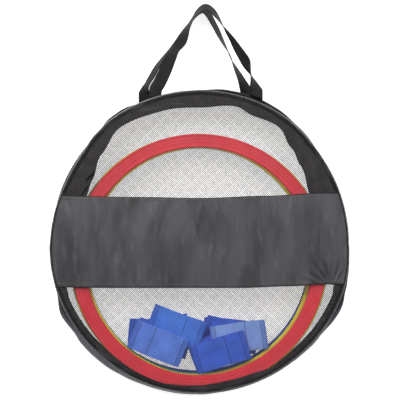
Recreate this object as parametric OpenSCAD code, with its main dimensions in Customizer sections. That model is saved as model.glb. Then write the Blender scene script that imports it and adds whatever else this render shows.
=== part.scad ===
// Set of flat agility rings and hook-and-loop connectors in a round zipped carry bag.
// The bag lies on its back: Z = 0 is the underside of the back panel, the front panel faces +Z,
// and the carry handles point to +Y. The origin is the middle of the back panel.

/* [Rings] */
// Outside diameter of every ring
ring_d = 400; // [300:5:500]
// Width of a ring's flat strip, measured along its radius
ring_w = 20.5; // [14:0.5:30]
// Thickness of a ring over its two rounded rims
ring_t = 3.5; // [2.6:0.1:6]
// Thickness of the flat web between the rims
ring_web_t = 2.2; // [1.2:0.1:2.4]
// Width of the raised rib along the middle of the web
ring_rib_w = 3; // [1:0.5:5]
// Thickness of a ring over its rib
ring_rib_t = 2.9; // [2.5:0.1:6]
// Free height between two rings of the pile
ring_gap = 0.3; // [0.2:0.1:1]
// How far the rings of the pile have rolled from one another along the bag's wall
ring_scatter = 7; // [0:0.5:10]
// How far the highest ring of the pile has moved from the bag's wall towards the handles
ring_rise = 2.5; // [0:0.1:4]

/* [Bag] */
// Room across the inside of the bag beyond the rings' diameter
bag_room = 66; // [40:2:120]
// Height left free between the pile of rings and the front panel
head_room = 3.3; // [1:0.1:20]
// Thickness of the gusset cloth
cloth_t = 1.0; // [0.6:0.1:1.6]
// Thickness of the mesh panels
mesh_t = 1.0; // [0.6:0.1:1.6]
// Distance between the gaps of the front panel's net
net_pitch = 17; // [16:1:60]
// Distance between the gaps of the back panel's net
back_net_pitch = 32; // [30:1:80]
// Width of a net's strands
strand_w = 2.4; // [1.5:0.1:4]
// Plain edge left round a net
net_rim = 9; // [5:1:20]
// Thickness of the cord in the corner seams
piping_d = 3.8; // [2:0.2:6]
// Height of the plain band across the front, which is also the line where the cover folds
band_h = 144; // [80:2:220]
// Thickness of the band's cloth
band_t = 0.9; // [0.5:0.1:1.5]
// Slit left along the fold of the cover, on each side of the fold line
fold_gap = 0.3; // [0.2:0.1:1]

/* [Zip] */
// Width of the slot between the two gusset strips that the zip closes
zip_slot_h = 12; // [9:0.5:16]
// Width of each zip tape
tape_w = 11; // [8:0.5:14]
// Thickness of each zip tape
tape_t = 0.7; // [0.4:0.1:1]
// Distance from one tooth to the next along a row
tooth_pitch = 5; // [4:0.5:10]
// Width of a tooth along the row
tooth_w = 3; // [1.5:0.5:3.5]
// Reach of a tooth from the tape's edge over the tape
tooth_h = 2.4; // [1.5:0.1:3]
// Height of a tooth above the tape
tooth_t = 2.2; // [1.2:0.1:3]
// Slit between the two closed rows, which the slider's post runs in
row_gap = 1.6; // [1.2:0.1:2.4]
// Length of the closed zip beyond the fold at each end, where the slider parks
zip_end = 34; // [30:1:60]
// Length along the zip of the metal clip at each end
stop_l = 4; // [3:0.5:6]

/* [Slider] */
// Length of the slider along the zip
slider_l = 17; // [15:0.5:24]
// Thickness of the slider's two plates
slider_plate_t = 1.4; // [0.8:0.1:2]
// Width of the slider's plates at the nose, where the two rows part
nose_w = 6.8; // [4:0.2:9]
// Length of the rounding from the nose to the plates' full width
nose_l = 3.4; // [2:0.2:5]
// Width of the slider's plates at the tail, where the two rows are closed
tail_w = 6.8; // [4:0.2:9]
// Length of the taper from the plates' full width to the tail
tail_l = 5.1; // [3:0.2:7]
// Width of the flanges that hold the rows between the plates
flange_w = 1.9; // [1:0.1:3]
// Thickness of the post between the plates
post_t = 1.0; // [0.5:0.1:1.2]
// Length of the post along the zip
post_l = 3; // [2:0.5:5]
// Running clearance between the slider and the zip
slider_play = 0.4; // [0.3:0.1:0.8]
// Length of the pull tab from its pivot
pull_l = 34; // [20:1:50]
// Thickness of the pull tab and of its pivot bar
pull_t = 1.4; // [1:0.1:2]
// Diameter of the hole in the pull tab for a finger cord
pull_hole_d = 2.6; // [1.5:0.1:3.4]
// Width of the crown that the pull tab hangs in
crown_w = 3; // [2:0.5:5]
// Length of the crown along the zip
crown_l = 8; // [6:0.5:11]
// Thickness of the crown's bridge and of its two legs
crown_t = 1.2; // [0.8:0.1:2]

/* [Connectors] */
// Length of a connector pressed flat
connector_l = 88; // [60:2:110]
// Width of a connector
connector_w = 46; // [30:1:60]
// Height of a connector's flattened sleeve
sleeve_h = 6; // [4:0.2:8]
// Thickness of a connector's padded cloth
sleeve_t = 1.5; // [0.8:0.1:1.8]
// Length of the closing flap that lies over the sleeve
flap_l = 30; // [15:1:40]
// Thickness of the closing flap
flap_t = 1.0; // [0.6:0.1:1.4]

/* [Handles] */
// Width of the handle webbing
strap_w = 20; // [14:1:30]
// Thickness of the handle webbing
strap_t = 1.3; // [1:0.1:2.4]
// Distance from the front or back face to the line that the handles swing about
handle_inset = 7; // [6:0.5:10]
// Length of the sewn-down end of each handle, along the gusset
tab_l = 9; // [6:0.5:12]

/* [Hidden] */
$fn = 180;
seam = 0.2;
floor_gap = 0.4;
colours = ["blue", "green", "yellow", "red"];
ring_rgb = [[0.20, 0.32, 0.66], [0.22, 0.62, 0.34], [0.93, 0.80, 0.16], [0.86, 0.18, 0.24]];
rings_per_colour = 3;
ring_count = len(colours) * rings_per_colour;
ring_r = ring_d / 2;
ring_pitch = ring_t + ring_gap;

bag_r_in = (ring_d + bag_room) / 2;
bag_r = bag_r_in + cloth_t;
pile_z = mesh_t + floor_gap;
pile_h = ring_count * ring_pitch;
bag_h = pile_z + pile_h + head_room + mesh_t;
piping_r = bag_r + seam + piping_d / 2;
fold_y = -band_h / 2;
fold_z = bag_h + band_t;
fold_a = asin(band_h / 2 / bag_r);
fold_slit_a = fold_gap / bag_r * 180 / PI;

zip_z = bag_h / 2;
slot_z0 = zip_z - zip_slot_h / 2;
slot_z1 = zip_z + zip_slot_h / 2;
zip_end_a = zip_end / bag_r * 180 / PI;
cover_a0 = -fold_a + fold_slit_a;
cover_a1 = 180 + fold_a - fold_slit_a;
base_a0 = -fold_a - fold_slit_a;
base_a1 = 180 + fold_a + fold_slit_a;
bottom_a = 270;
seam_a = seam / 2 / bag_r * 180 / PI;
zip_a0 = -fold_a - zip_end_a;
zip_a1 = 180 + fold_a + zip_end_a;
tape_r = bag_r_in - seam - tape_t;
teeth_r = bag_r_in;
teeth_out_r = teeth_r + tooth_t;

plate_r = teeth_out_r + slider_play;
stop_margin = 1.5;
stop_a = (stop_l + stop_margin) / bag_r * 180 / PI;
park_gap = 6;
post_inset = 0.7;
pull_arm_w = 1.4;
pull_window = 3.5;
plate_w = row_gap + 2 * (tooth_h + slider_play + flange_w);
flange_r = tape_r + tape_t + slider_play;
inner_plate_r = tape_r - slider_play - slider_plate_t;
slider_a = -fold_a - (slider_l / 2 + park_gap) / bag_r * 180 / PI;
pull_r = plate_r + slider_plate_t + slider_play + pull_t / 2;
crown_under = pull_t + 2 * slider_play;

hole_r = ring_r - ring_w;
rest_gap = 1.2;
rest_r = bag_r_in - ring_r - rest_gap;
layer_gap = 0.5;
layer_h = sleeve_h + flap_t + layer_gap;

pivot_inset = 1.6;
pivot_y = bag_r + seam - pivot_inset;
pivot_play = 0.3;
patch_margin = 0.6;
front_pivot_z = bag_h - handle_inset;
back_pivot_z = handle_inset;

// Each ring's share of the scatter and of the rise, from the bottom of the pile to its top
scatter = [
  [-0.9, 1], [-0.4, 0.2], [0, 0.2], [-0.35, 0], [0.15, 0.1], [-0.5, 0],
  [-1, 0.1], [-0.7, 0], [0.35, 0.1], [-0.1, 0.3], [-0.35, 0.5], [-0.2, 0.55]
];

// Each connector: distance from the bag's middle line to its near side, lift above the place where
// its outer side meets the rings' holes, and turn in degrees. Two lie side by side in every layer
connectors = [
  [17, 2, 3], [2, 8, -6],
  [11.5, -15, -15], [3, -18.5, 20],
  [12.5, -0.5, 10], [2, 0.5, -12],
  [24, -6, -5], [-21, -13, 20],
  [-11, 14.5, -20], [15, -5.5, 8],
  [17, -29.5, -22], [-16, -16.5, 17]
];

// Each point of a handle's centre line: right of the middle, beyond the pivot, above the back face
// of the bag, and roll of the webbing about its own run in degrees
front_handle_path = [
  [-70.5, 0, 45, 0], [-69, 8.5, 45, 0], [-63, 18.5, 44, 4], [-54, 38.5, 42, 8],
  [-47.5, 55, 40, 20], [-39.5, 69.5, 38, 46], [-29.5, 84.5, 37, 28], [-20.5, 104, 36, 62],
  [-11, 120.5, 34, 74], [-1.5, 133, 33, 62], [9, 138.5, 32, 50], [19.5, 132.5, 32, 56],
  [28, 122, 32, 68], [34.5, 111.5, 32, 80], [41.5, 100.5, 32.5, 95], [49.5, 89, 33, 106],
  [57.5, 75.5, 34, 119], [66, 62, 35, 128], [72.5, 51, 36, 132], [77.5, 39, 38, 106],
  [81, 30, 40, 84], [84.5, 20, 42, 60], [87, 10, 44, 30], [88.5, 4, 45, 0],
  [88.5, 2, 45, 0], [88.5, 0, 45, 0]
];
back_handle_path = [
  [-88.5, 0, 7, 0], [-88.5, 2, 7, 0], [-88.5, 4, 7, 0], [-88, 8.5, 8, 38],
  [-86, 16.5, 10.8, 70], [-81.5, 25, 11, 78], [-76, 34, 11, 74], [-69.5, 46, 10.8, 72],
  [-59.5, 59.5, 10.6, 68], [-45, 73.5, 9.8, 56], [-31.5, 88, 7.8, 38], [-23, 105.5, 10.5, 62],
  [-12.5, 121.5, 11, 74], [-3, 133, 10.5, 62], [6, 137, 10.5, 54], [13.5, 130.5, 10.5, 56],
  [20, 119, 10.5, 60], [26, 108, 10.5, 62], [31, 97.5, 10.6, 65], [36, 87.5, 11, 71],
  [41, 78, 11, 77], [46, 68.5, 11.3, 88], [50, 59, 11.3, 88], [54.5, 49.5, 11, 76],
  [59, 40.5, 10.6, 66], [64, 31, 10, 57], [68.5, 21, 9, 44], [73, 10.5, 8, 22],
  [75.5, 4, 7, 0], [75.5, 2, 7, 0], [75.5, 0, 7, 0]
];
path_steps = 3;
cut = 1;
join = 0.1;

ring_nodes = [for (c = colours) for (k = [1:rings_per_colour]) str("ring_", c, "_", k)];
connector_nodes = [for (i = [1:len(connectors)]) str("connector_", i < 10 ? "0" : "", i)];

// A wall on a circle about the bag's axis, from angle a0 to a1 and from height z0 to z1
module wall(r_in, r_out, z0, z1, a0, a1) {
  rotate([0, 0, a0])
    rotate_extrude(angle = a1 - a0)
      translate([r_in, z0])
        square([r_out - r_in, z1 - z0]);
}

// A stretch of round cord on the circle of the corner seams
module piping_arc(z, a0, a1) {
  rotate([0, 0, a0])
    rotate_extrude(angle = a1 - a0)
      translate([piping_r, z])
        circle(d = piping_d, $fn = 24);
}

// The part of a disc with y between y0 and y1
module disc_slice(r, y0, y1) {
  intersection() {
    circle(r = r);
    translate([-r - cut, y0])
      square([2 * (r + cut), y1 - y0]);
  }
}

// Diamond gaps in staggered rows, as far as they fit in a disc and between y0 and y1; two strands
// cross at the middle of the disc
module net_gaps(r, y0, y1, pitch) {
  side = pitch / sqrt(2) - strand_w;
  reach = side / sqrt(2);
  n = ceil(r / pitch);
  for (j = [-2 * n:2 * n])
    for (i = [-n:n]) {
      x = (i + (1 - abs(j % 2)) / 2) * pitch;
      y = j * pitch / 2;
      if (norm([x, y]) + reach < r && y - reach > y0 && y + reach < y1)
        translate([x, y])
          rotate(45)
            square(side, center = true);
    }
}

// A flat panel of net between y0 and y1, with gaps from y = gap_y0 to gap_y1
module net_panel(y0, y1, gap_y0, gap_y1, pitch) {
  r = bag_r_in - seam;
  color([0.30, 0.29, 0.30])
    linear_extrude(mesh_t)
      difference() {
        disc_slice(r, y0, y1);
        net_gaps(r - net_rim, gap_y0, gap_y1, pitch);
      }
}

module back_panel() {
  net_panel(-bag_r, bag_r, -bag_r, bag_r, back_net_pitch);
}

module back_piping() {
  color([0.07, 0.07, 0.08])
    translate([0, 0, piping_d / 2])
      rotate_extrude()
        translate([piping_r, 0])
          circle(d = piping_d, $fn = 24);
}

// The back strip of the gusset, under the zip
module gusset_back() {
  color([0.11, 0.11, 0.12])
    wall(bag_r_in, bag_r, 0, slot_z0, base_a0 + 2 * fold_slit_a, base_a1 - 2 * fold_slit_a);
}

// A full-height lower piece of the gusset, from angle a0 to a1, with a slot from angle cut_a0 to
// cut_a1 for the end of the zip
module gusset_side(a0, a1, cut_a0, cut_a1) {
  color([0.11, 0.11, 0.12])
    difference() {
      wall(bag_r_in, bag_r, 0, bag_h, a0, a1);
      wall(bag_r_in - cut, bag_r + cut, slot_z0, slot_z1, cut_a0, cut_a1);
    }
}

module gusset_left() {
  gusset_side(base_a1, bottom_a - seam_a, base_a1 - cut, zip_a1);
}

module gusset_right() {
  gusset_side(bottom_a + seam_a, 360 + base_a0, 360 + zip_a0, 360 + base_a0 + cut);
}

// The front strip of the gusset, above the zip, which opens with the cover
module gusset_cover() {
  color([0.11, 0.11, 0.12])
    wall(bag_r_in, bag_r, slot_z1, bag_h, cover_a0, cover_a1);
}

module tape(up, a0, a1) {
  edge = zip_z + up * row_gap / 2;
  far = edge + up * tape_w;
  wall(tape_r, tape_r + tape_t, min(edge, far), max(edge, far), a0, a1);
}

module zip_tape_back() {
  color([0.09, 0.09, 0.10])
    tape(-1, zip_a0, zip_a1);
}

module zip_tape_cover() {
  color([0.09, 0.09, 0.10])
    tape(1, cover_a0, cover_a1);
}

// The front tape beyond the fold, sewn to the lower gusset at both ends
module zip_tape_ends() {
  color([0.09, 0.09, 0.10]) {
    tape(1, zip_a0, base_a0);
    tape(1, base_a1, zip_a1);
  }
}

// A row of teeth between two angles; the rows of the two tapes stand half a pitch apart
module teeth(up, a0, a1) {
  step = tooth_pitch / teeth_r * 180 / PI;
  shift = up > 0 ? step / 2 : 0;
  half_tooth = tooth_w / 2 / teeth_r * 180 / PI;
  first = ceil((a0 + half_tooth - shift) / step);
  last = floor((a1 - half_tooth - shift) / step);
  for (i = [first:last])
    rotate([0, 0, shift + i * step])
      translate([teeth_r, -tooth_w / 2, zip_z + (up > 0 ? row_gap / 2 : -row_gap / 2 - tooth_h)])
        cube([tooth_t, tooth_w, tooth_h]);
}

module zip_teeth_back() {
  color([0.05, 0.05, 0.06])
    teeth(-1, zip_a0 + stop_a, zip_a1 - stop_a);
}

module zip_teeth_cover() {
  color([0.05, 0.05, 0.06])
    teeth(1, cover_a0, cover_a1);
}

module zip_teeth_ends() {
  color([0.05, 0.05, 0.06]) {
    teeth(1, zip_a0 + stop_a, base_a0);
    teeth(1, base_a1, zip_a1 - stop_a);
  }
}

// A metal clip over both rows at each end of the zip
module zip_stops() {
  h = row_gap + 2 * tooth_h;
  color([0.60, 0.60, 0.62])
    for (a = [zip_a0 + stop_a / 2, zip_a1 - stop_a / 2])
      rotate([0, 0, a])
        translate([teeth_r, -stop_l / 2, zip_z - h / 2])
          cube([tooth_t, stop_l, h]);
}

module mesh_lower() {
  translate([0, 0, bag_h - mesh_t])
    net_panel(-bag_r, fold_y - fold_gap, -bag_r, fold_y - net_rim, net_pitch);
}

module mesh_cover() {
  translate([0, 0, bag_h - mesh_t])
    net_panel(fold_y + fold_gap, bag_r, net_rim - fold_y, bag_r, net_pitch);
}

module piping_lower() {
  color([0.07, 0.07, 0.08])
    piping_arc(bag_h - piping_d / 2, base_a1, 360 + base_a0);
}

module piping_cover() {
  color([0.07, 0.07, 0.08])
    piping_arc(bag_h - piping_d / 2, cover_a0, cover_a1);
}

// The plain band sewn over the mesh from side to side
module front_band() {
  color([0.27, 0.26, 0.28])
    translate([0, 0, bag_h])
      linear_extrude(band_t)
        disc_slice(bag_r - seam, fold_y + fold_gap, -fold_y);
}

// Places its children on the zip at angle a: x points outwards, y along the zip
module at_zip(a, r) {
  rotate([0, 0, a])
    translate([r, 0, zip_z])
      children();
}

// The shield outline of the slider's plates: the nose, where the rows part, is at its lower end
module slider_outline() {
  polygon([
    [-slider_l / 2, -nose_w / 2], [nose_l - slider_l / 2, -plate_w / 2],
    [slider_l / 2 - tail_l, -plate_w / 2], [slider_l / 2, -tail_w / 2],
    [slider_l / 2, tail_w / 2], [slider_l / 2 - tail_l, plate_w / 2],
    [nose_l - slider_l / 2, plate_w / 2], [-slider_l / 2, nose_w / 2]
  ]);
}

// A plate of the slider's outline, with its inner face at radius r
module slider_plate(r) {
  at_zip(slider_a, r)
    rotate([90, 0, 90])
      linear_extrude(slider_plate_t)
        slider_outline();
}

module zip_slider() {
  color([0.55, 0.55, 0.58]) {
    slider_plate(plate_r);
    slider_plate(inner_plate_r);
    at_zip(slider_a, inner_plate_r)
      translate([0, post_inset - slider_l / 2, -post_t / 2])
        cube([plate_r - inner_plate_r + slider_plate_t / 2, post_l, post_t]);
    for (z = [plate_w / 2 - flange_w, -plate_w / 2])
      at_zip(slider_a, flange_r)
        translate([0, nose_l - slider_l / 2, z])
          cube([plate_r - flange_r + slider_plate_t / 2, slider_l - nose_l - tail_l, flange_w]);
    crown();
  }
}

// The bridge on the slider that the pull tab's bar hangs under
module crown() {
  at_zip(slider_a, plate_r + slider_plate_t) {
    for (y = [-crown_l / 2, crown_l / 2 - crown_t])
      translate([-slider_plate_t / 2, y, -crown_w / 2])
        cube([slider_plate_t / 2 + crown_under + crown_t, crown_t, crown_w]);
    translate([crown_under, -crown_l / 2, -crown_w / 2])
      cube([crown_t, crown_l, crown_w]);
  }
}

// The pull tab: a bar under the crown, two arms beside it and a flat grip with a cord hole
module zip_pull() {
  half_w = crown_w / 2 + slider_play + pull_arm_w;
  window_l = crown_l / 2 + pull_window;
  color([0.55, 0.55, 0.58])
    at_zip(slider_a, pull_r) {
      translate([0, 0, -half_w])
        cylinder(d = pull_t, h = 2 * half_w, $fn = 32);
      for (side = [-1, 1])
        translate([-pull_t / 2, -window_l - join, side > 0 ? half_w - pull_arm_w : -half_w])
          cube([pull_t, window_l + join, pull_arm_w]);
      rotate([0, -90, 0])
        translate([0, 0, -pull_t / 2])
          linear_extrude(pull_t)
            difference() {
              union() {
                translate([-half_w, -pull_l + half_w])
                  square([2 * half_w, pull_l - half_w - window_l]);
                translate([0, -pull_l + half_w])
                  circle(r = half_w, $fn = 48);
              }
              translate([0, -pull_l + half_w])
                circle(d = pull_hole_d, $fn = 32);
            }
    }
}

// A flat ring: a web with a rib, between two rounded rims
module ring(i) {
  phi = ring_scatter * scatter[i][0] / rest_r * 180 / PI;
  lying_r = rest_r - ring_rise * scatter[i][1];
  rim_r = ring_t / 2;
  color(ring_rgb[floor(i / rings_per_colour)])
    translate([lying_r * sin(phi), -lying_r * cos(phi), pile_z + i * ring_pitch + rim_r])
      rotate_extrude() {
        for (x = [hole_r + rim_r, ring_r - rim_r])
          translate([x, 0])
            circle(r = rim_r, $fn = 24);
        translate([hole_r + rim_r, -ring_web_t / 2])
          square([ring_w - 2 * rim_r, ring_web_t]);
        translate([ring_r - (ring_w + ring_rib_w) / 2, -ring_rib_t / 2])
          square([ring_rib_w, ring_rib_t]);
      }
}

// A flat bar with round ends, seen from its side
module stadium(l, h) {
  translate([-(l - h) / 2, 0])
    square([l - h, h]);
  for (x = [-(l - h) / 2, (l - h) / 2])
    translate([x, h / 2])
      circle(d = h, $fn = 32);
}

// A connector: a strip of padded cloth closed on itself into a flat sleeve by its end flap
module connector(i) {
  place = connectors[i];
  turn = abs(place[2]);
  half_x = (connector_l * cos(turn) + connector_w * sin(turn)) / 2;
  half_y = (connector_l * sin(turn) + connector_w * cos(turn)) / 2;
  side = i % 2 == 0 ? -1 : 1;
  foot = sqrt(hole_r * hole_r - pow(place[0] + 2 * half_x, 2));
  color([0.16, 0.38, 0.85])
    translate([side * (place[0] + half_x), place[1] + half_y - rest_r - foot,
               pile_z + floor(i / 2) * layer_h])
      rotate([90, 0, place[2]])
        translate([0, 0, -connector_w / 2])
          linear_extrude(connector_w)
            sleeve_profile();
}

// A connector seen along its sleeve's run
module sleeve_profile() {
  difference() {
    stadium(connector_l, sleeve_h);
    translate([0, sleeve_t])
      stadium(connector_l - 2 * sleeve_t, sleeve_h - 2 * sleeve_t);
  }
  translate([connector_l / 2 - sleeve_h / 2 - flap_l, sleeve_h - join])
    square([flap_l, flap_t + join]);
}

function mix4(p, t) =
  0.5 * (2 * p[1] + (p[2] - p[0]) * t + (2 * p[0] - 5 * p[1] + 4 * p[2] - p[3]) * t * t
    + (3 * p[1] - p[0] - 3 * p[2] + p[3]) * t * t * t);

// Points of a smooth curve through every point of a path, n steps from one point to the next
function smooth(path, n) =
  let (m = len(path) - 1)
  [
    for (i = [0:m - 1]) for (k = [0:n - 1])
      mix4([path[max(i - 1, 0)], path[i], path[i + 1], path[min(i + 2, m)]], k / n),
    path[m]
  ];

function unit(v) = v / norm(v);
function xyz(p) = [p[0], p[1], p[2]];

// The four corners of the webbing's section at point i of a smooth path; its ends are square to Y
function strap_section(pts, i) =
  let (
    m = len(pts) - 1,
    run = i == 0 ? [0, 1, 0] : i == m ? [0, -1, 0] : unit(xyz(pts[i + 1]) - xyz(pts[i - 1])),
    side = unit(cross(run, [0, 0, 1])),
    up = cross(side, run),
    across = side * cos(pts[i][3]) + up * sin(pts[i][3]),
    through = cross(run, across),
    a = across * strap_w / 2,
    b = through * strap_t / 2,
    c = xyz(pts[i])
  )
  [c - a - b, c + a - b, c + a + b, c - a + b];

// A strap swept along a path, as one closed shell
module strap(path) {
  pts = smooth(path, path_steps);
  m = len(pts) - 1;
  corners = [for (i = [0:m]) each strap_section(pts, i)];
  sides = [
    for (i = [0:m - 1]) for (k = [0:3])
      each [
        [4 * i + k, 4 * i + 4 + k, 4 * i + (k + 1) % 4],
        [4 * i + (k + 1) % 4, 4 * i + 4 + k, 4 * i + 4 + (k + 1) % 4]
      ]
  ];
  caps = [[0, 1, 2], [0, 2, 3], [4 * m + 2, 4 * m + 1, 4 * m], [4 * m + 3, 4 * m + 2, 4 * m]];
  polyhedron(points = corners, faces = concat(sides, caps));
}

// The path with its first and last points at the pivot height, and the rest moved along with them
function raised(path, pivot_z) =
  [for (p = path) [p[0], p[1], p[2] - path[0][2] + pivot_z, p[3]]];

// A handle: the free loop of webbing, whose two ends turn about the pivot line
module handle(path, pivot_z) {
  color([0.12, 0.12, 0.13])
    translate([0, pivot_y, 0])
      strap(raised(path, pivot_z));
}

// The sewn-down ends of a handle: a patch on the gusset and a tongue that reaches to the pivot
module handle_ends(path, pivot_z, up) {
  patch_r = bag_r + seam;
  half = strap_w / 2 + patch_margin;
  lip = strap_t / 2 + patch_margin;
  z0 = up > 0 ? pivot_z + lip - tab_l : pivot_z - lip;
  color([0.12, 0.12, 0.13])
    for (p = [path[0], path[len(path) - 1]]) {
      wall(patch_r, patch_r + strap_t, z0, z0 + tab_l,
           acos((p[0] + half) / patch_r), acos((p[0] - half) / patch_r));
      difference() {
        translate([p[0] - strap_w / 2, 0, pivot_z - strap_t / 2])
          cube([strap_w, pivot_y - strap_t / 2 - pivot_play, strap_t]);
        translate([0, 0, pivot_z - strap_t])
          cylinder(r = patch_r + strap_t / 2, h = 2 * strap_t);
      }
    }
}

module front_handle_ends() {
  handle_ends(front_handle_path, front_pivot_z, 1);
}

module front_handle() {
  handle(front_handle_path, front_pivot_z);
}

module back_handle_ends() {
  handle_ends(back_handle_path, back_pivot_z, -1);
}

module back_handle() {
  handle(back_handle_path, back_pivot_z);
}

back_panel();
back_piping();
gusset_back();
gusset_left();
gusset_right();
zip_tape_back();
zip_tape_ends();
zip_teeth_back();
zip_teeth_ends();
zip_stops();
mesh_lower();
piping_lower();
mesh_cover();
front_band();
gusset_cover();
piping_cover();
zip_tape_cover();
zip_teeth_cover();
zip_slider();
zip_pull();
front_handle_ends();
front_handle();
back_handle_ends();
back_handle();
for (i = [0:len(ring_nodes) - 1])
  ring(i);
for (i = [0:len(connector_nodes) - 1])
  connector(i);
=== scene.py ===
"""Dresses the ring bag: nets, cloth, piping, webbing and connectors round the fixed frame."""

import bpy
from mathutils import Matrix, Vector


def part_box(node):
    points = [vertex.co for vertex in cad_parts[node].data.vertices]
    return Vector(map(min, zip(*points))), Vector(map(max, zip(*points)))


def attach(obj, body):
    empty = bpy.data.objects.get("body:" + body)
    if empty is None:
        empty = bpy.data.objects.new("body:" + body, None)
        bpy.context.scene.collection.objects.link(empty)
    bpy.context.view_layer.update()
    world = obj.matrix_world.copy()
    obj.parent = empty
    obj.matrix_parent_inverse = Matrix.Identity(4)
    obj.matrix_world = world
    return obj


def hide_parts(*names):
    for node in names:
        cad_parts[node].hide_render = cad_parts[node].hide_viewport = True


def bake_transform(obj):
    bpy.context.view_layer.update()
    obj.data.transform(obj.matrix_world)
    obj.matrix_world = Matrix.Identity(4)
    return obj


bl_info = {
    "name": "Ring Bag",
    "version": (1, 0, 0),
    "blender": (4, 5, 0),
    "location": "View3D > Sidebar > Ring Bag",
    "description": "Builds a round mesh bag with flat rings, padded connectors and webbing handles",
    "category": "Add Mesh",
}

import math

import bpy
import numpy as np
from mathutils import Vector

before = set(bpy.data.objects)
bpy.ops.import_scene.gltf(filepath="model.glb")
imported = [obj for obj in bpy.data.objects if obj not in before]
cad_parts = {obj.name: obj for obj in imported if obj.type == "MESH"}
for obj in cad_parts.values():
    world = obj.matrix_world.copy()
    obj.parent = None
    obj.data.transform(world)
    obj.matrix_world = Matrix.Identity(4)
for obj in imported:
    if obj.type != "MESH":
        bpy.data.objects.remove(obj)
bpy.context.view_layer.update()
MM = 0.001

# Sizes that the frame fixes: the outer radius of the gusset's wall, the piping, the bag's height,
# the band's upper edge, the top of the pile of rings, and the slot in the wall that the zip closes
WALL_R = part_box("gusset_cover")[1][0]
PIPE_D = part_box("back_piping")[1][2]
PIPE_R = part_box("back_piping")[1][0] - PIPE_D / 2
BAG_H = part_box("piping_cover")[1][2]
BAND_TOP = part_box("front_band")[1][1]
PILE_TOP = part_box("ring_red_3")[1][2]
SLOT_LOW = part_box("gusset_back")[1][2]
SLOT_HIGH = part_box("gusset_cover")[0][2]

# The line that the cover folds on, how far the zip runs on beyond it, both as angles in degrees
# too, and the angles of the zip's two ends
FOLD_Y = -BAND_TOP
FOLD_A = math.degrees(math.asin(BAND_TOP / WALL_R))
ZIP_BEYOND = 34 * MM
ZIP_END_A = ZIP_BEYOND / WALL_R * 180 / math.pi
LEFT_END, RIGHT_END = 180 + FOLD_A + ZIP_END_A, 360 - FOLD_A - ZIP_END_A

# The cloth: its thickness in the frame and as it shows, the heights of its two seams and of the
# front net, the share of the bulge that the strip below the zip has, and the points up a wall
CLOTH_T = 1.0 * MM
SHEET_T = 0.5 * MM
SEAM_LOW = 1.2 * MM
NET_HIGH = BAG_H - 0.5 * MM
SEAM_HIGH = NET_HIGH - 0.9 * MM
BACK_SHARE = 0.6
WALL_COUNT = 41
# How far the front net's strands lie beside the middle
NET_SHIFT = 0.78 * MM
# Where the painted highlight line runs along the piping: the angle up from its outermost line
CREST = math.radians(62)

RINGS_PER_COLOUR = 3
COLOURS = ("blue", "green", "yellow", "red")
# The rings' grooves: millimetres in from the rim
RING_GROOVES = (4.5, 9, 13.5)

# A handle's points, as in the source, in millimetres: to the right, beyond the pivot, height, roll
FRONT_HANDLE = (
    (-70.5, 0, 45, 0), (-69, 8.5, 45, 0), (-63, 18.5, 44, 4), (-54, 38.5, 42, 8),
    (-47.5, 55, 40, 20), (-39.5, 69.5, 38, 46), (-29.5, 84.5, 37, 28), (-20.5, 104, 36, 62),
    (-11, 120.5, 34, 74), (-1.5, 133, 33, 62), (9, 138.5, 32, 50), (19.5, 132.5, 32, 56),
    (28, 122, 32, 68), (34.5, 111.5, 32, 80), (41.5, 100.5, 32.5, 95), (49.5, 89, 33, 106),
    (57.5, 75.5, 34, 119), (66, 62, 35, 128), (72.5, 51, 36, 132), (77.5, 39, 38, 106),
    (81, 30, 40, 84), (84.5, 20, 42, 60), (87, 10, 44, 30), (88.5, 4, 45, 0),
    (88.5, 2, 45, 0), (88.5, 0, 45, 0),
)
BACK_HANDLE = (
    (-88.5, 0, 7, 0), (-88.5, 2, 7, 0), (-88.5, 4, 7, 0), (-88, 8.5, 8, 38),
    (-85.5, 16.5, 10.8, 60), (-81, 25, 11, 60), (-75.5, 34, 11, 58), (-69, 46, 10.8, 62),
    (-59.5, 59.5, 10.6, 68), (-45, 73.5, 9.8, 56), (-31.5, 88, 7.8, 38), (-23, 105.5, 10.5, 62),
    (-12.5, 121.5, 11, 74), (-3, 133, 10.5, 62), (6, 137, 10.5, 54), (13.5, 130.5, 10.5, 56),
    (20, 119, 10.5, 60), (26, 108, 10.5, 62), (31, 97.5, 10.6, 65), (36, 87.5, 11, 71),
    (41, 78, 11, 77), (46, 68.5, 11.3, 88), (50, 59, 11.3, 88), (54.5, 49.5, 11, 76),
    (59, 40.5, 10.6, 66), (64, 31, 10, 57), (68.5, 21, 9, 44), (73, 10.5, 8, 22),
    (75.5, 4, 7, 0), (75.5, 2, 7, 0), (75.5, 0, 7, 0),
)
HANDLE_PIVOT_Y = 232.6
FRONT_PIVOT_Z = 44.3
BACK_PIVOT_Z = 7.0

# How far the slack gusset cloth reaches in under the net: angle in degrees, radius in millimetres
FRONT_PLEAT = (
    (-18, 196), (10, 186), (24, 188), (37, 198), (46, 206), (56, 219), (68, 215), (74, 220),
    (90, 211), (106, 214), (125, 219), (138, 207), (150, 195), (158, 192), (172, 190), (198, 196),
)
LEFT_PLEAT = (
    (198, 221), (205, 224), (215, 225), (224, 229), (232, 232), (250, 231), (262, 227), (270, 225),
)
RIGHT_PLEAT = (
    (270, 225), (276, 223), (282, 222), (290, 222), (306, 230), (318, 228), (328, 225),
    (336, 226), (342, 221),
)
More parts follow.
